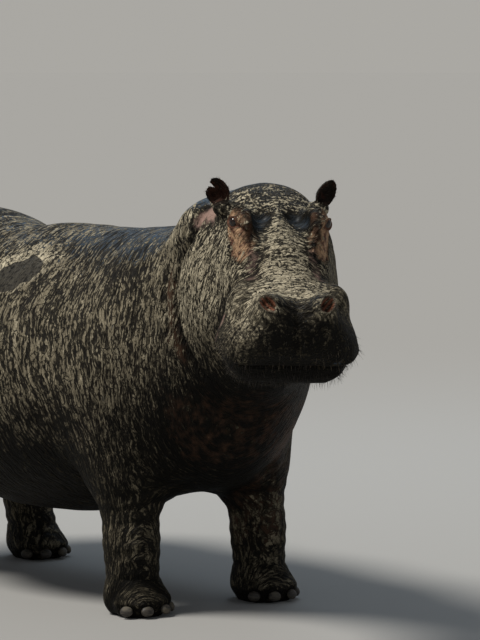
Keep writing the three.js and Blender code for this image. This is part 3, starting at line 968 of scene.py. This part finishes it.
# Mud is also thinned where painted shade falls: underneath, on the chest, on and below the lips, at the
# muzzle's front, in the folds and creases, behind the pad and on the slopes beside the bridge.
mud = (
    0.50
    + 0.05 * cheeks
    + 0.07 * bridge
    + 0.08 * rump
    + 0.15 * nape
    + 0.16 * plates
    - 0.02 * (pad + low)
    - 0.05 * (muzzle_front + rust)
    - 0.08 * lip_shade
    - 0.10 * crown
    - 0.11 * back
    - 0.12 * (lower_head + chest + fold_shade)
    - 0.13 * behind_pad
    - 0.14 * crease_shade
    - 0.16 * under
    - 0.17 * slope
    - 0.20 * (orbit_shade + knobs_wet + mauve)
    - 0.22 * lip_corner
    - 0.25 * ears
    - 0.26 * septum
    - 0.30 * nostril_rim
    - 0.36 * pink
    - 0.45 * pits
    - 0.60 * nostril
)
keep(skin, "mud", np.clip(mud, 0, 1))
# The mud's paleness, with painted light and shade summed in: paler on the bridge, the pad, the cheeks and
# the nape, where the sun falls, and darker on the low parts, the underside, the chest, the throat, the lips,
# the front of the muzzle, the far cheek, the slopes beside the bridge, behind the pad and in the jowl's
# fold.
tone_and_painted_light = (
    0.58
    + 0.08 * rump
    + 0.24 * pad
    + 0.30 * plates
    + 0.34 * (bridge + nape)
    + 0.36 * cheeks
    - 0.20 * chest
    - 0.25 * (slope + far_cheek)
    - 0.28 * low
    - 0.30 * (septum + under + fold_shade)
    - 0.35 * throat
    - 0.46 * lip_shade
    - 0.50 * lower_head
    - 0.60 * behind_pad
    - 0.66 * muzzle_front
)
keep(skin, "tone_and_painted_light", np.clip(tone_and_painted_light, 0, 1))
keep(skin, "dust", 0.06 + 0.26 * pad * (1 - muzzle_front))
pebbled = pad * ramp(0.14, 0.10, above) + 0.85 * crown + 0.55 * bridge
pebbled += (1 - on_head) * (0.25 + 0.25 * rump) + plates
keep(skin, "pebbled", np.clip(pebbled, 0, 1))
print("kept on the skin:", [a.name for a in skin.data.attributes if not a.name.startswith(".")])

# %% [markdown]
# ## Finishes
# Shader sums are written as plain Python: one small class stands for a socket, and adding or multiplying
# two of them adds the Math nodes. Anything else comes from one method that makes a node, sets it up and
# feeds its sockets.


# %% Writing shaders as sums
class Value:
    """A socket that can be added, subtracted and multiplied."""

    def __init__(self, finish, socket):
        self.finish = finish
        self.socket = socket

    def _with(self, operation, first, second):
        return self.finish.node("ShaderNodeMath", {0: first, 1: second}, operation=operation)

    def __add__(self, other):
        return self._with("ADD", self, other)

    def __sub__(self, other):
        return self._with("SUBTRACT", self, other)

    def __rsub__(self, other):
        return self._with("SUBTRACT", other, self)

    def __mul__(self, other):
        return self._with("MULTIPLY", self, other)

    __radd__ = __add__
    __rmul__ = __mul__


class Finish:
    """A material, and the ways to make and feed its nodes."""

    def __init__(self, name):
        self.material = bpy.data.materials.new(name)
        self.material.use_nodes = True
        self.tree = self.material.node_tree
        self.shader = self.tree.nodes["Principled BSDF"]

    def feed(self, socket, value):
        if isinstance(value, Value):
            self.tree.links.new(value.socket, socket)
        else:
            socket.default_value = value

    def give(self, name, value):
        """Feeds one of the shader's own sockets."""
        self.feed(self.shader.inputs[name], value)

    def node(self, kind, inputs, output=0, **settings):
        made = self.tree.nodes.new(kind)
        for name, value in settings.items():
            setattr(made, name, value)
        for name, value in inputs.items():
            self.feed(made.inputs[name], value)
        return Value(self, made.outputs[output])

    def kept(self, name):
        return self.node("ShaderNodeAttribute", {}, output="Fac", attribute_name=name)

    def kept_vector(self, name):
        return self.node("ShaderNodeAttribute", {}, output="Vector", attribute_name=name)

    def rise(self, value, low, high):
        """0 below low, 1 above high, smooth between."""
        limits = {"Value": value, "From Min": low, "From Max": high}
        return self.node("ShaderNodeMapRange", limits, interpolation_type="SMOOTHSTEP")

    def stretch(self, vector, scale):
        return self.node("ShaderNodeVectorMath", {0: vector, 1: scale}, operation="MULTIPLY")

    def shift(self, vector, other):
        return self.node("ShaderNodeVectorMath", {0: vector, 1: other}, operation="ADD")

    def noise(self, vector, scale, detail=2.0, roughness=0.5, output="Fac"):
        inputs = {"Vector": vector, "Scale": scale, "Detail": detail, "Roughness": roughness}
        return self.node("ShaderNodeTexNoise", inputs, output=output)

    def cells(self, vector, scale):
        """Distance from the edges between random cells."""
        inputs = {"Vector": vector, "Scale": scale}
        return self.node("ShaderNodeTexVoronoi", inputs, output="Distance", feature="DISTANCE_TO_EDGE")

    def blend(self, a, b, factor):
        """Colour a where factor is 0, and colour b where it is 1."""
        inputs = {"Factor": factor, 6: a, 7: b}
        return self.node("ShaderNodeMix", inputs, output=2, data_type="RGBA")

    def cover(self, piece):
        """Makes this a piece's only material."""
        piece.data.materials.clear()
        piece.data.materials.append(self.material)


# %% [markdown]
# The hide's crust is a noise pulled out along the grain, cut off at a level that follows the numbers kept
# above, so mud lies in short streaks and its edge is crisp. Under it the skin is nearly black, with bare
# patches of other colours. A thin film of dust lies between the streaks.

# %% Mud-crusted hide: where the crust lies
hide = Finish("hide")
grain = hide.kept_vector("grain")
wander = hide.noise(grain, 11, detail=2, output="Color")
wander = hide.stretch(hide.shift(wander, (-0.5, -0.5, -0.5)), (0.040, 0.040, 0.040))
bent = hide.shift(grain, wander)
ringed = hide.stretch(bent, (1, 0.34, 0.34))
long_ringed = hide.stretch(bent, (1, 0.15, 0.15))

mud = hide.kept("mud")
tone_and_painted_light = hide.kept("tone_and_painted_light")
painted_shade = hide.kept("painted_shade")
fine = hide.noise(ringed, 118, detail=4, roughness=0.58)
pebbles = hide.noise(bent, 76, detail=4, roughness=0.56)
fine = fine + (pebbles - fine) * hide.kept("pebbled")
lines = hide.noise(long_ringed, 88, detail=1.5, roughness=0.5)
broad = hide.noise(grain, 6.5, detail=3, roughness=0.6)
level = fine * 0.68 + lines * 0.32 + (broad - 0.5) * 0.11 + (mud - 0.5) * 0.36
crust = hide.rise(level, 0.470, 0.518)
chips = hide.rise(hide.cells(hide.shift(ringed, hide.stretch(wander, (0.3, 0.3, 0.3))), 56), 0.008, 0.045)
crust = crust * chips
film = hide.rise(level, 0.38, 0.49)
print("the crust is made of", len(hide.tree.nodes), "nodes")

# %% [markdown]
# Colours are laid one over another, from the skin outwards: first the skin with its painted shade, its
# painted reflection of the sky and its bare patches, then a film of dust, then the crust, and last the
# flaked plate and the dark ears. The edges of the patches are broken up by noise, because no border on a
# living animal is clean.

# %% Mud-crusted hide: colours
DARK = (0.0065, 0.0060, 0.0050, 1)
BROWN = (0.016, 0.0135, 0.010, 1)
# Near black, for the painted shade.
SHADE_DARK = (0.0042, 0.0038, 0.0030, 1)
CRUST_DARK = (0.034, 0.029, 0.020, 1)
CRUST = (0.205, 0.176, 0.121, 1)
CRUST_PALE = (0.54, 0.475, 0.340, 1)
PINK = (0.46, 0.290, 0.172, 1)
PINK_BROWN = (0.105, 0.048, 0.032, 1)
MAUVE = (0.380, 0.250, 0.205, 1)
NOSTRIL_RED = (0.210, 0.085, 0.050, 1)
NOSTRIL_RIM = (0.200, 0.160, 0.125, 1)
RUST = (0.060, 0.031, 0.018, 1)
# A painted reflection of the sky on polished skin.
PAINTED_SKY_REFLECTION = (0.034, 0.053, 0.075, 1)
EAR_DARK = (0.016, 0.012, 0.009, 1)
EAR_RED = (0.048, 0.022, 0.015, 1)
BARE = (0.044, 0.040, 0.032, 1)

blotch = hide.noise(grain, 23, detail=3, roughness=0.6)
uneven = hide.noise(ringed, 52, detail=2)


def patchy_region(name, blotchy, ragged, low, high):
    """A region kept on the points, with its edge broken up by noise."""
    return hide.rise(hide.kept(name) + (blotch - 0.5) * blotchy + (uneven - 0.5) * ragged, low, high)


# Streaks of a painted blue-grey reflection of the sky lie where the skin is polished; the same mask sets the
# coat's real gloss below.
streaks = ((lines - 0.5) * 2.0 + (broad - 0.5) * 1.2) * (1 - hide.kept("smooth"))
gloss_and_sky_sheen = hide.rise(hide.kept("polish_and_sky_sheen") + streaks, 0.40, 0.90)
pink = patchy_region("pink", 0.8, 0.45, 0.20, 0.80)
flesh_tone = hide.blend(PINK_BROWN, PINK, hide.rise(hide.noise(grain, 34, detail=3), 0.34, 0.60))
# Painted shade: the wrinkle grooves and lid creases round the eyes are darkened to pink-brown.
groove = hide.rise(hide.kept("groove") + (fine - 0.5) * 2.2, 0.10, 0.60)
skin_colour = hide.blend(DARK, BROWN, hide.rise(blotch, 0.35, 0.7))
# Over the skin's own colours go the painted shade and the painted reflection of the sky.
for paint, share in (
    (SHADE_DARK, painted_shade * 0.9),
    (RUST, patchy_region("rust", 1.1, 0.5, 0.30, 0.95)),
    (PAINTED_SKY_REFLECTION, gloss_and_sky_sheen * 0.9),
    (MAUVE, patchy_region("mauve", 0.8, 0.8, 0.25, 0.85) * 0.85),
    (flesh_tone, pink),
    (PINK_BROWN, groove * pink * 0.9),
    (NOSTRIL_RED, hide.kept("nostril")),
    (NOSTRIL_RIM, hide.kept("nostril_rim") * 0.7),
):
    skin_colour = hide.blend(skin_colour, paint, share)

speckle = hide.noise(bent, 190, detail=2, roughness=0.6)
# The crust's paleness: the kept tone with its painted light and shade, made uneven by noise.
paleness_and_light = tone_and_painted_light + (uneven - 0.5) * 1.1 + (blotch - 0.5) * 0.5 + (speckle - 0.5) * 0.9
mud_colour = hide.blend(CRUST_DARK, CRUST, hide.rise(paleness_and_light, 0.05, 0.60))
mud_colour = hide.blend(mud_colour, CRUST_PALE, hide.rise(paleness_and_light, 0.55, 1.15))
colour = hide.blend(skin_colour, mud_colour, film * hide.kept("dust") * (1 - pink) * (1 - gloss_and_sky_sheen))
colour = hide.blend(colour, mud_colour, crust)

flaked = hide.kept("flaked") + (hide.noise(grain, 13, detail=1.5) - 0.5) * 0.9
bare = hide.rise(flaked, 0.19, 0.21)
flake_edge = hide.rise(flaked, 0.02, 0.14) * (1 - bare)
colour = hide.blend(colour, hide.blend(DARK, BARE, hide.rise(fine, 0.36, 0.56)), bare * 0.93)
colour = hide.blend(colour, CRUST_PALE, flake_edge * hide.rise(uneven, 0.50, 0.54) * 0.5)
ear_colour = hide.blend(EAR_DARK, EAR_RED, hide.kept("ear_hollow") * hide.rise(lines, 0.40, 0.55))
colour = hide.blend(colour, ear_colour, hide.kept("ears") * (1 - crust * 0.6))
hide.give("Base Color", colour)
print("with its colours it has", len(hide.tree.nodes), "nodes")

# %% [markdown]
# Wet skin is glossy and dried mud is dull, so the crust also rules the gloss. The crust stands proud of the
# skin, and fine wrinkles and scales run through both. They are far too small for the net, so they are
# relief in the finish.

# %% Mud-crusted hide: gloss and relief
mudness = crust * (1 - bare)
hide.give("Specular IOR Level", 0.07)
hide.give("Coat Roughness", 0.32)
hide.give("Coat Weight", gloss_and_sky_sheen * (1 - mudness) * 0.35)
hide.give("Roughness", 0.56 + mudness * 0.30 - gloss_and_sky_sheen * 0.16)
wrinkles = hide.rise(lines, 0.36, 0.60) * (1 - hide.kept("pebbled") * 0.75) * (1 - hide.kept("smooth") * 0.8)
scales = hide.rise(hide.cells(ringed, 150), 0.0, 0.30)
height = mudness * 0.75 + wrinkles * 0.65 + scales * 0.15 + fine * 0.4 + (1 - bare) * 0.8
bump = hide.node("ShaderNodeBump", {"Strength": 1.0, "Distance": 0.009, "Height": height})
hide.give("Normal", bump)
hide.cover(skin)
skin.data.polygons.foreach_set("use_smooth", np.ones(len(skin.data.polygons), bool))
skin.data.update()
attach(skin, "root")
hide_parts(*flesh, *EARS)
print("hide finished with", len(hide.tree.nodes), "nodes")

# %% [markdown]
# ## Eyes
# The eyeballs are the one wet, smooth thing on the animal. Each is a fresh ball in its solid's place,
# because the solid's facets would show in its reflections. The angle from the line of sight is kept on its
# points, and colours the pupil, the brown iris and the darker white of the eye.

# %% Eyeballs
eye_finish = Finish("eye")
from_sight = eye_finish.kept("from_sight")
PUPIL = (0.003, 0.002, 0.002, 1)
IRIS = (0.020, 0.010, 0.006, 1)
EYE_WHITE = (0.006, 0.004, 0.003, 1)
eye_colour = eye_finish.blend(PUPIL, IRIS, eye_finish.rise(from_sight, 0.20, 0.27))
eye_colour = eye_finish.blend(eye_colour, EYE_WHITE, eye_finish.rise(from_sight, 0.50, 0.62))
eye_finish.give("Base Color", eye_colour)
eye_finish.give("Roughness", 0.07)
EYE_GAP = 0.0004
for eye in EYES:
    low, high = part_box(eye)
    centre = (low + high) / 2
    radius = (high.z - low.z) / 2 - EYE_GAP
    side = 1 if eye.endswith("left") else -1
    deselect_all()
    bpy.ops.mesh.primitive_uv_sphere_add(segments=40, ring_count=24, radius=radius, location=centre)
    bpy.ops.object.transform_apply(location=True, rotation=True, scale=True)
    ball = bpy.context.object
    ball.name = eye.replace("eye", "eyeball")
    bpy.ops.object.shade_smooth()
    way = points(ball) - np.array(centre)
    way /= np.linalg.norm(way, axis=1)[:, None]
    sight = TURN @ (GAZE * (1, side, 1))
    keep(ball, "from_sight", np.arccos(np.clip(way @ sight, -1, 1)))
    eye_finish.cover(ball)
    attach(ball, "root")
    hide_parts(eye)
    print(ball.name, "is", round(radius * 2000, 1), "mm across")

# %% [markdown]
# ## Toenails
# Each toe ends in a short, blunt nail like a small hoof. The nails are separate from the skin, because horn
# is hard and smoother. Each is a rounded copy of its own solid, and the four of a foot make one piece.

# %% Toenails
horn = Finish("horn")
HORN_DARK = (0.018, 0.015, 0.012, 1)
HORN_PALE = (0.075, 0.062, 0.046, 1)
HORN_DUST = (0.11, 0.095, 0.068, 1)
place = horn.node("ShaderNodeTexCoord", {}, output="Object")
growth = horn.noise(horn.stretch(place, (1, 1, 5)), 45, detail=3, roughness=0.6)
dust = horn.noise(place, 28, detail=3, roughness=0.65)
horn_colour = horn.blend(HORN_DARK, HORN_PALE, horn.rise(growth, 0.35, 0.75))
horn_colour = horn.blend(horn_colour, HORN_DUST, horn.rise(dust, 0.46, 0.64) * 0.8)
horn.give("Base Color", horn_colour)
horn.give("Roughness", 0.55 + horn.rise(dust, 0.46, 0.64) * 0.30)
relief = {"Strength": 0.6, "Distance": 0.002, "Height": growth + dust * 0.8}
horn_bump = horn.node("ShaderNodeBump", relief)
horn.give("Normal", horn_bump)
for foot in ("fore_right", "fore_left", "hind_right", "hind_left"):
    nails = [n for n in nodes if n.startswith(foot + "_nail")]
    copies = [copy_of(n, n + "_copy") for n in nails]
    for piece in copies:
        in_edit_mode(piece, weld, pair_triangles)
        apply_modifier(piece, "SUBSURF", levels=2, render_levels=2)
    alone(*copies)
    bpy.ops.object.join()
    toenails = bpy.context.object
    toenails.name = foot + "_toenails"
    toenails.data.name = toenails.name
    bpy.ops.object.shade_smooth()
    horn.cover(toenails)
    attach(toenails, "root")
    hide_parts(*nails)
    print(toenails.name, len(toenails.data.polygons), "faces")

# %% [markdown]
# ## Bristles
# A hippopotamus is nearly bald. Stiff bristles stand on the lips and chin, fringe the ears, and grow all
# round the end of the tail. Hair curves would do for a picture, but solid spikes stay in the model: each is
# thin, three-sided and bent a little, and all of a region are joined in one mesh. Their map lays each
# bristle as a tiny patch at its root's place on the unrolled head, ear or tail.

# %% Places for the roots
chance = np.random.default_rng(11)
CORNERS = np.array([p.vertices[:] for p in skin.data.polygons])
CO = points(skin)
NRM = normals(skin)
FIRST, SECOND, THIRD = (CO[corner] for corner in CORNERS.T)
FACE_AREA = np.linalg.norm(np.cross(SECOND - FIRST, THIRD - FIRST), axis=1)
print("triangles to choose from:", len(CORNERS))


def roots(count, wanted):
    """Random places on the skin, more where wanted is high, and the skin's normals there."""
    odds = FACE_AREA * wanted[CORNERS].mean(1)
    chosen = CORNERS[chance.choice(len(CORNERS), count, p=odds / odds.sum())]
    share = chance.dirichlet((1, 1, 1), count)[:, :, None]
    way = (NRM[chosen] * share).sum(1)
    return (CO[chosen] * share).sum(1), way / np.linalg.norm(way, axis=1)[:, None]


# %% The finish of a bristle
BRISTLE_DARK = (0.020, 0.015, 0.011, 1)
BRISTLE_PALE = (0.30, 0.24, 0.165, 1)
bristle_finish = Finish("bristle")
bristle_colour = bristle_finish.blend(BRISTLE_DARK, BRISTLE_PALE, bristle_finish.kept("pale"))
bristle_finish.give("Base Color", bristle_colour)
bristle_finish.give("Roughness", 0.45)
print("bristle finish has", len(bristle_finish.tree.nodes), "nodes")

# %% The shape of a bristle
RINGS = np.array([0.0, 0.35, 0.70])
TIP = 9
PATCH = 0.003


def spikes(root, way, length, thick, droop):
    """The ten corners of each spike: three rings of three, and the tip."""
    count = len(root)
    way = way / np.linalg.norm(way, axis=1)[:, None]
    aside = np.cross(way, chance.normal(size=(count, 3)))
    aside /= np.linalg.norm(aside, axis=1)[:, None]
    third = np.cross(way, aside)
    corners = []
    for t in RINGS:
        middle = root + way * (length * (t - 0.03))[:, None] + droop * (length * t * t)[:, None]
        for k in range(3):
            turn = 2 * math.pi * k / 3
            out = aside * math.cos(turn) + third * math.sin(turn)
            corners.append(middle + out * (thick * (1 - 0.75 * t))[:, None])
    corners.append(root + way * length[:, None] + droop * length[:, None])
    return np.stack(corners, 1)


def spike_faces():
    """The faces of one spike, and where their corners lie on its patch of the map."""
    heights = np.append(RINGS, 1.0)
    faces = [(2, 1, 0)]
    spots = [((0.6, 0.0), (0.3, 0.0), (0.0, 0.0))]
    for ring in range(3):
        low, high = heights[ring : ring + 2]
        for k in range(3):
            a, b = 3 * ring + k, 3 * ring + (k + 1) % 3
            u, w = k / 3, (k + 1) / 3
            if ring < 2:
                faces.append((a, b, b + 3, a + 3))
                spots.append(((u, low), (w, low), (w, high), (u, high)))
            else:
                faces.append((a, b, TIP))
                spots.append(((u, low), (w, low), (w, high)))
    return faces, np.array([spot for face in spots for spot in face]) * PATCH


print("faces on each bristle:", len(spike_faces()[0]))


# %% Growing bristles
def uniform(low, high, count):
    return chance.uniform(low, high, count)


def rough(count, share):
    """A random push in any direction for each bristle."""
    return share * chance.normal(size=(count, 3))


def grow(name, root, way, length, thick, droop, place, pale):
    """Joins three-sided spikes into one piece; place is each root's corner on the bristle map."""
    corners = spikes(root, way, length, thick, droop)
    faces, patch = spike_faces()
    mesh = bpy.data.meshes.new(name)
    all_faces = [[10 * i + k for k in face] for i in range(len(root)) for face in faces]
    mesh.from_pydata(corners.reshape(-1, 3).tolist(), [], all_faces)
    piece = bpy.data.objects.new(name, mesh)
    scene.collection.objects.link(piece)
    chart = mesh.uv_layers.new(name="OFBake")
    chart.data.foreach_set("uv", (place[:, None, :] + patch[None]).ravel())
    keep(piece, "pale", np.repeat(pale, 10))
    mesh.polygons.foreach_set("use_smooth", np.ones(len(mesh.polygons), bool))
    mesh.update()
    bristle_finish.cover(piece)
    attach(piece, "root")
    print(name, len(root), "bristles,", len(mesh.polygons), "faces")


# %% Lips and chin
count = 760
down = TURN @ np.array([0.1, 0, -1.0])
face = one_side(CO)
ahead, aside, above = face.T
height = mouth_height(face)
over_lip = ramp(0.50, 0.60, ahead) * ramp(0.15, 0.02, above) * (height > 0.004)
on_chin = ramp(0.40, 0.55, ahead) * ramp(-0.16, -0.10, above) * (height < -0.012)
root, way = roots(count, over_lip * (0.20 + 0.4 * ramp(0.06, 0.0, height)) + 0.9 * on_chin)
local = in_head(root)
height = mouth_height(local)
unrolled = np.arctan2(local[:, 1], local[:, 2] + 0.02) / (2 * math.pi) + 0.5
place = np.stack([0.02 + 0.54 * unrolled, 0.02 + 0.94 * (local[:, 0] + 0.1)], 1)
grow(
    "muzzle_bristles",
    root,
    way + 0.55 * down + rough(count, 0.25),
    uniform(0.010, 0.027, count) * np.where(height < 0.03, 1.0, 0.6),
    uniform(0.00045, 0.0007, count),
    0.35 * down + rough(count, 0.10),
    place,
    ramp(0.5, 1.0, uniform(0, 1, count)) * np.where(height > 0, 0.8, 0.15),
)

# %% Ears
count = 170
for ear, side, map_x in zip(EARS, (-1, 1), (0.705, 0.905)):
    ear_x, ear_y, ear_z = in_ear(CO, side).T
    rim = np.hypot(ear_x / EAR_HALF_WIDE, (ear_z - EAR_MIDDLE) / EAR_HALF_HIGH)
    near = (np.abs(ear_y + 0.02) < 0.05) * (rim < 1.3) * ramp(0.0, 0.02, ear_z)
    root, way = roots(count, near * (0.15 + ramp(0.74, 0.95, rim)))
    at = in_ear(root, side)
    axes = np.array(ear_frame(side).to_3x3())
    outwards = [at[:, 0] / EAR_HALF_WIDE, np.full(count, 0.12), (at[:, 2] - 0.030) / EAR_HALF_HIGH]
    outwards = np.stack(outwards, 1) @ axes.T
    place = np.stack([map_x + at[:, 0] * 1.6, 0.05 + at[:, 2] * 1.6], 1)
    place[:, 1] += np.where(way @ axes[:, 1] > 0, 0.26, 0.0)
    grow(
        ear + "_bristles",
        root,
        outwards + 0.25 * way + rough(count, 0.25),
        uniform(0.003, 0.010, count),
        uniform(0.0003, 0.0005, count),
        rough(count, 0.15),
        place,
        ramp(0.55, 1.0, uniform(0, 1, count)) * 0.6,
    )

# %% Tail
count = 420
low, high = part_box("tail")
x, y, z = CO.T
tip = ramp(low.z + 0.16, low.z + 0.02, z) * (x < high.x) * (x > low.x - 0.01)
tip *= (np.abs(y - (low.y + high.y) / 2) < (high.y - low.y) / 2 + 0.01) * (z > low.z - 0.01)
root, way = roots(count, tip)
unrolled = np.arctan2(way[:, 1], -way[:, 0]) / (2 * math.pi) + 0.5
place = np.stack([0.62 + 0.34 * unrolled, 0.60 + 0.35 * (root[:, 2] - low.z) / 0.2], 1)
grow(
    "tail_bristles",
    root,
    0.6 * way + np.array([-0.15, 0, -1.0]) + rough(count, 0.15),
    uniform(0.025, 0.055, count),
    uniform(0.0005, 0.0008, count),
    np.array([0.0, 0, -0.15]) + rough(count, 0.06),
    place,
    ramp(0.7, 1.0, uniform(0, 1, count)) * 0.4,
)
